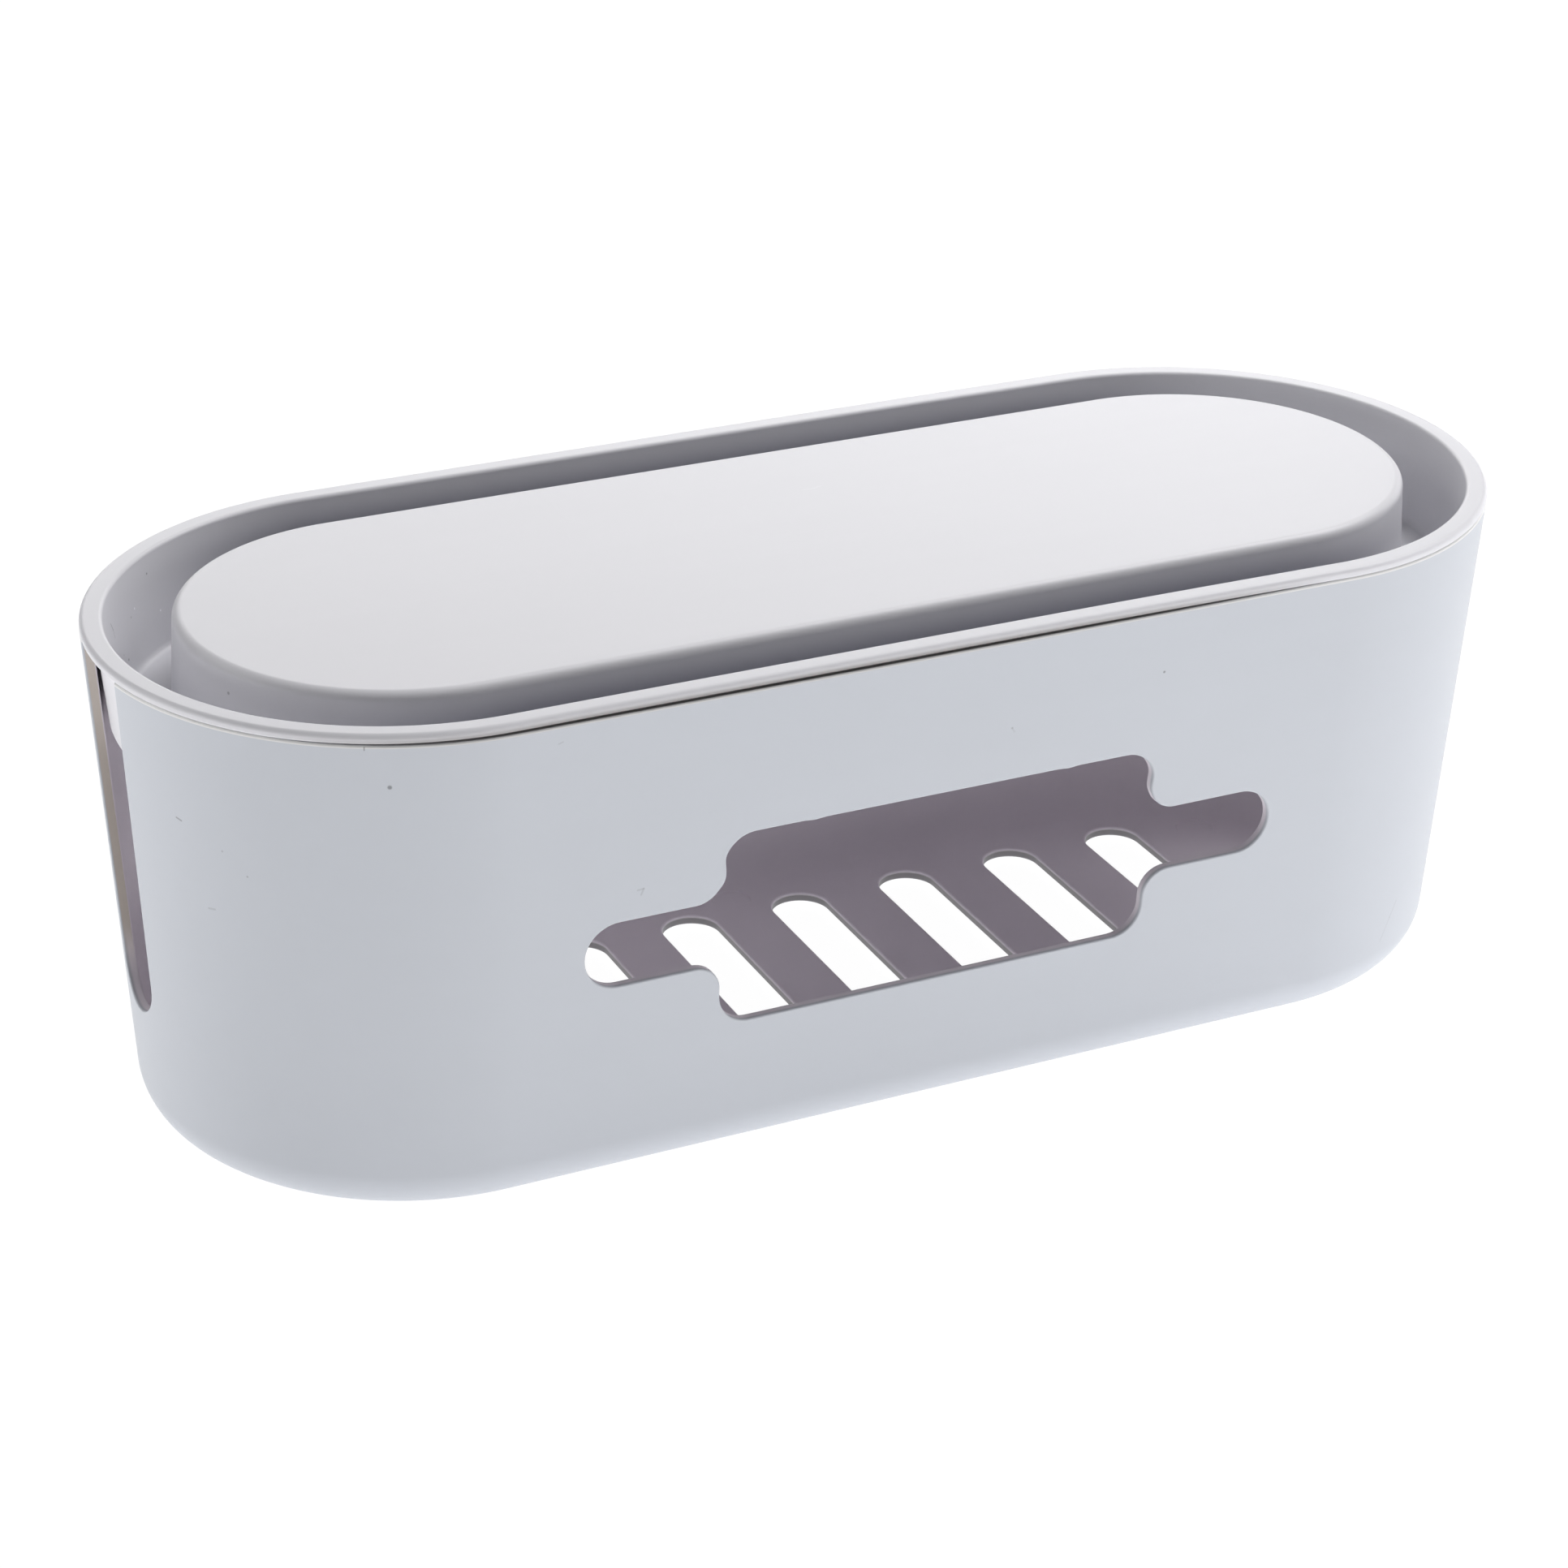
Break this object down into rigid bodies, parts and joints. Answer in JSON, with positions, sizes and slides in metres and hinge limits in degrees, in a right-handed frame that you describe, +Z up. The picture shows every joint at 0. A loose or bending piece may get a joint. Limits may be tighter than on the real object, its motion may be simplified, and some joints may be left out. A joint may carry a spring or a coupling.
{
  "type": "cable management box",
  "caption": "Oblong cable management box with a stepped front opening, slotted ends, a vented floor and a lift-off lid whose raised centre is ringed by a trough.",
  "frame": {"origin": "centre of the footprint, on the plane the feet stand on", "axes": "+X along the length towards the right-hand end seen from the front, +Y towards the plain back wall, +Z up; the shaped opening faces -Y"},
  "size_m": [0.32, 0.13, 0.1145],
  "materials": {
    "body_plastic": "satin, fine moulded grain, cool light grey",
    "lid_plastic": "satin, fine moulded grain, near-white grey",
    "foot_rubber": "matt moulded rubber"
  },
  "bodies": {
    "base": {"body": "body_plastic", "foot_front_left": "foot_rubber", "foot_front_right": "foot_rubber", "foot_rear_left": "foot_rubber", "foot_rear_right": "foot_rubber"},
    "cover": {"lid": "lid_plastic"}
  },
  "joints": [
    {"name": "lid_lift", "type": "slide", "parent": "base", "child": "cover", "axis": [0, 0, 1], "range_m": [0, 0.04]}
  ]
}
